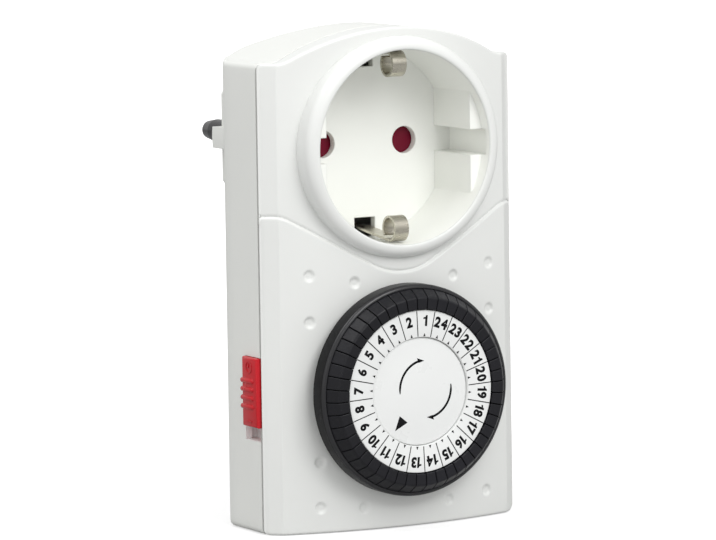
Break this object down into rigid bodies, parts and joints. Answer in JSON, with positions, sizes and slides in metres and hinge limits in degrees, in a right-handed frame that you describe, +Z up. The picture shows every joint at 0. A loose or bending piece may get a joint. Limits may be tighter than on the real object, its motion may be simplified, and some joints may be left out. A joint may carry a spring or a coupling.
{
  "type": "plug-in timer switch",
  "caption": "Plug-in mains timer: socket with guide blocks, shutter and earth clips, plug behind, push-in tabs round a turning dial, override slider at the side.",
  "frame": {"origin": "middle of the flat bottom face, 4 mm behind the parting seam of the two shells", "axes": "+Z up, +X to the right seen from the front, +Y from the socket's side to the plug's side; the plug pins point along +Y"},
  "size_m": [0.0597, 0.0722, 0.1014],
  "materials": {
    "shell_white": "satin white moulded plastic",
    "rear_white": "satin white moulded plastic",
    "dial_black": "satin black moulded plastic",
    "tab_black": "satin black moulded plastic",
    "print_white": "smooth white with black print",
    "slider_red": "smooth red plastic",
    "shutter_crimson": "smooth dark red plastic",
    "clip_nickel": "drawn nickel silver strip",
    "pin_nickel": "turned and nickel plated",
    "contact_brass": "bright strip brass",
    "blade_copper": "spring bronze",
    "base_tan": "moulded insulating base",
    "lever_ivory": "low friction moulded plastic",
    "steel": "zinc plated steel",
    "plate_grey": "moulded grey plastic",
    "gear_ivory": "moulded gear plastic",
    "bobbin_white": "moulded bobbin plastic",
    "winding_copper": "enamelled copper wire",
    "magnet_dark": "sintered ferrite",
    "pinion_brass": "turned brass",
    "lead_blue": "insulated wire"
  },
  "bodies": {
    "housing": {"front_housing": "shell_white", "rear_housing": "rear_white", "centre_cap": "print_white", "socket_earth_clip": "clip_nickel", "plug_earth_clip": "clip_nickel", "shutter_clip": "steel", "shutter_spring": "steel", "socket_contact_left": "contact_brass", "socket_contact_right": "contact_brass", "plug_pin_left": "pin_nickel", "plug_pin_right": "pin_nickel", "contact_base": "base_tan", "neutral_link": "contact_brass", "line_in_bus": "contact_brass", "line_out_bus": "contact_brass", "switch_blade": "blade_copper", "lever_pin": "steel", "mechanism_plate": "plate_grey", "gear_axle": "steel", "motor_cover": "steel", "motor_can": "steel", "coil_bobbin": "bobbin_white", "coil_winding": "winding_copper", "motor_leads": "lead_blue", "housing_screws": "steel"},
    "dial": {"dial_carrier": "dial_black", "number_disc": "print_white"},
    "slider": {"override_slider": "slider_red"},
    "lever": {"switch_lever": "lever_ivory"},
    "shutter": {"safety_shutter": "shutter_crimson"},
    "reduction": {"reduction_gear": "gear_ivory"},
    "rotor": {"rotor_magnet": "magnet_dark", "motor_pinion": "pinion_brass"},
    "hour_01": {"segment_pair_01": "tab_black"},
    "hour_02": {"segment_pair_02": "tab_black"},
    "hour_03": {"segment_pair_03": "tab_black"},
    "hour_04": {"segment_pair_04": "tab_black"},
    "hour_05": {"segment_pair_05": "tab_black"},
    "hour_06": {"segment_pair_06": "tab_black"},
    "hour_07": {"segment_pair_07": "tab_black"},
    "hour_08": {"segment_pair_08": "tab_black"},
    "hour_09": {"segment_pair_09": "tab_black"},
    "hour_10": {"segment_pair_10": "tab_black"},
    "hour_11": {"segment_pair_11": "tab_black"},
    "hour_12": {"segment_pair_12": "tab_black"},
    "hour_13": {"segment_pair_13": "tab_black"},
    "hour_14": {"segment_pair_14": "tab_black"},
    "hour_15": {"segment_pair_15": "tab_black"},
    "hour_16": {"segment_pair_16": "tab_black"},
    "hour_17": {"segment_pair_17": "tab_black"},
    "hour_18": {"segment_pair_18": "tab_black"},
    "hour_19": {"segment_pair_19": "tab_black"},
    "hour_20": {"segment_pair_20": "tab_black"},
    "hour_21": {"segment_pair_21": "tab_black"},
    "hour_22": {"segment_pair_22": "tab_black"},
    "hour_23": {"segment_pair_23": "tab_black"},
    "hour_24": {"segment_pair_24": "tab_black"}
  },
  "joints": [
    {"name": "dial_turn", "type": "hinge", "parent": "housing", "child": "dial", "pos_m": [0, -0.012, 0.0283], "axis": [0, 1, 0], "continuous": true},
    {"name": "override_push", "type": "slide", "parent": "housing", "child": "slider", "axis": [0, 0, -1], "range_m": [0, 0.0019]},
    {"name": "lever_rock", "type": "hinge", "parent": "housing", "child": "lever", "pos_m": [-0.0205, -0.0042, 0.032], "axis": [0.8735, 0, 0.4869], "range_deg": [0, 2.5]},
    {"name": "shutter_turn", "type": "hinge", "parent": "housing", "child": "shutter", "pos_m": [0, 0.0072, 0.0772], "axis": [0, 1, 0], "range_deg": [0, 38], "stiffness_Nm_per_rad": 0.002, "deforming": ["shutter_spring"]},
    {"name": "reduction_spin", "type": "hinge", "parent": "housing", "child": "reduction", "pos_m": [0.015, -0.005, 0.02839], "axis": [0, 1, 0], "continuous": true},
    {"name": "rotor_spin", "type": "hinge", "parent": "housing", "child": "rotor", "pos_m": [0.0075, 0.003, 0.02], "axis": [0, 1, 0], "continuous": true},
    {"name": "hour_01_push", "type": "slide", "parent": "dial", "child": "hour_01", "axis": [0, 1, 0], "range_m": [0, 0.0024]},
    {"name": "hour_02_push", "type": "slide", "parent": "dial", "child": "hour_02", "axis": [0, 1, 0], "range_m": [0, 0.0024]},
    {"name": "hour_03_push", "type": "slide", "parent": "dial", "child": "hour_03", "axis": [0, 1, 0], "range_m": [0, 0.0024]},
    {"name": "hour_04_push", "type": "slide", "parent": "dial", "child": "hour_04", "axis": [0, 1, 0], "range_m": [0, 0.0024]},
    {"name": "hour_05_push", "type": "slide", "parent": "dial", "child": "hour_05", "axis": [0, 1, 0], "range_m": [0, 0.0024]},
    {"name": "hour_06_push", "type": "slide", "parent": "dial", "child": "hour_06", "axis": [0, 1, 0], "range_m": [0, 0.0024]},
    {"name": "hour_07_push", "type": "slide", "parent": "dial", "child": "hour_07", "axis": [0, 1, 0], "range_m": [0, 0.0024]},
    {"name": "hour_08_push", "type": "slide", "parent": "dial", "child": "hour_08", "axis": [0, 1, 0], "range_m": [0, 0.0024]},
    {"name": "hour_09_push", "type": "slide", "parent": "dial", "child": "hour_09", "axis": [0, 1, 0], "range_m": [0, 0.0024]},
    {"name": "hour_10_push", "type": "slide", "parent": "dial", "child": "hour_10", "axis": [0, 1, 0], "range_m": [0, 0.0024]},
    {"name": "hour_11_push", "type": "slide", "parent": "dial", "child": "hour_11", "axis": [0, 1, 0], "range_m": [0, 0.0024]},
    {"name": "hour_12_push", "type": "slide", "parent": "dial", "child": "hour_12", "axis": [0, 1, 0], "range_m": [0, 0.0024]},
    {"name": "hour_13_push", "type": "slide", "parent": "dial", "child": "hour_13", "axis": [0, 1, 0], "range_m": [0, 0.0024]},
    {"name": "hour_14_push", "type": "slide", "parent": "dial", "child": "hour_14", "axis": [0, 1, 0], "range_m": [0, 0.0024]},
    {"name": "hour_15_push", "type": "slide", "parent": "dial", "child": "hour_15", "axis": [0, 1, 0], "range_m": [0, 0.0024]},
    {"name": "hour_16_push", "type": "slide", "parent": "dial", "child": "hour_16", "axis": [0, 1, 0], "range_m": [0, 0.0024]},
    {"name": "hour_17_push", "type": "slide", "parent": "dial", "child": "hour_17", "axis": [0, 1, 0], "range_m": [0, 0.0024]},
    {"name": "hour_18_push", "type": "slide", "parent": "dial", "child": "hour_18", "axis": [0, 1, 0], "range_m": [0, 0.0024]},
    {"name": "hour_19_push", "type": "slide", "parent": "dial", "child": "hour_19", "axis": [0, 1, 0], "range_m": [0, 0.0024]},
    {"name": "hour_20_push", "type": "slide", "parent": "dial", "child": "hour_20", "axis": [0, 1, 0], "range_m": [0, 0.0024]},
    {"name": "hour_21_push", "type": "slide", "parent": "dial", "child": "hour_21", "axis": [0, 1, 0], "range_m": [0, 0.0024]},
    {"name": "hour_22_push", "type": "slide", "parent": "dial", "child": "hour_22", "axis": [0, 1, 0], "range_m": [0, 0.0024]},
    {"name": "hour_23_push", "type": "slide", "parent": "dial", "child": "hour_23", "axis": [0, 1, 0], "range_m": [0, 0.0024]},
    {"name": "hour_24_push", "type": "slide", "parent": "dial", "child": "hour_24", "axis": [0, 1, 0], "range_m": [0, 0.0024]}
  ],
  "couplings": [
    {"joint": "reduction_spin", "follows": "dial_turn", "ratio": -4},
    {"joint": "rotor_spin", "follows": "dial_turn", "ratio": 16},
    {"joint": "lever_rock", "follows": "override_push", "rad_per_m": 22.964}
  ]
}
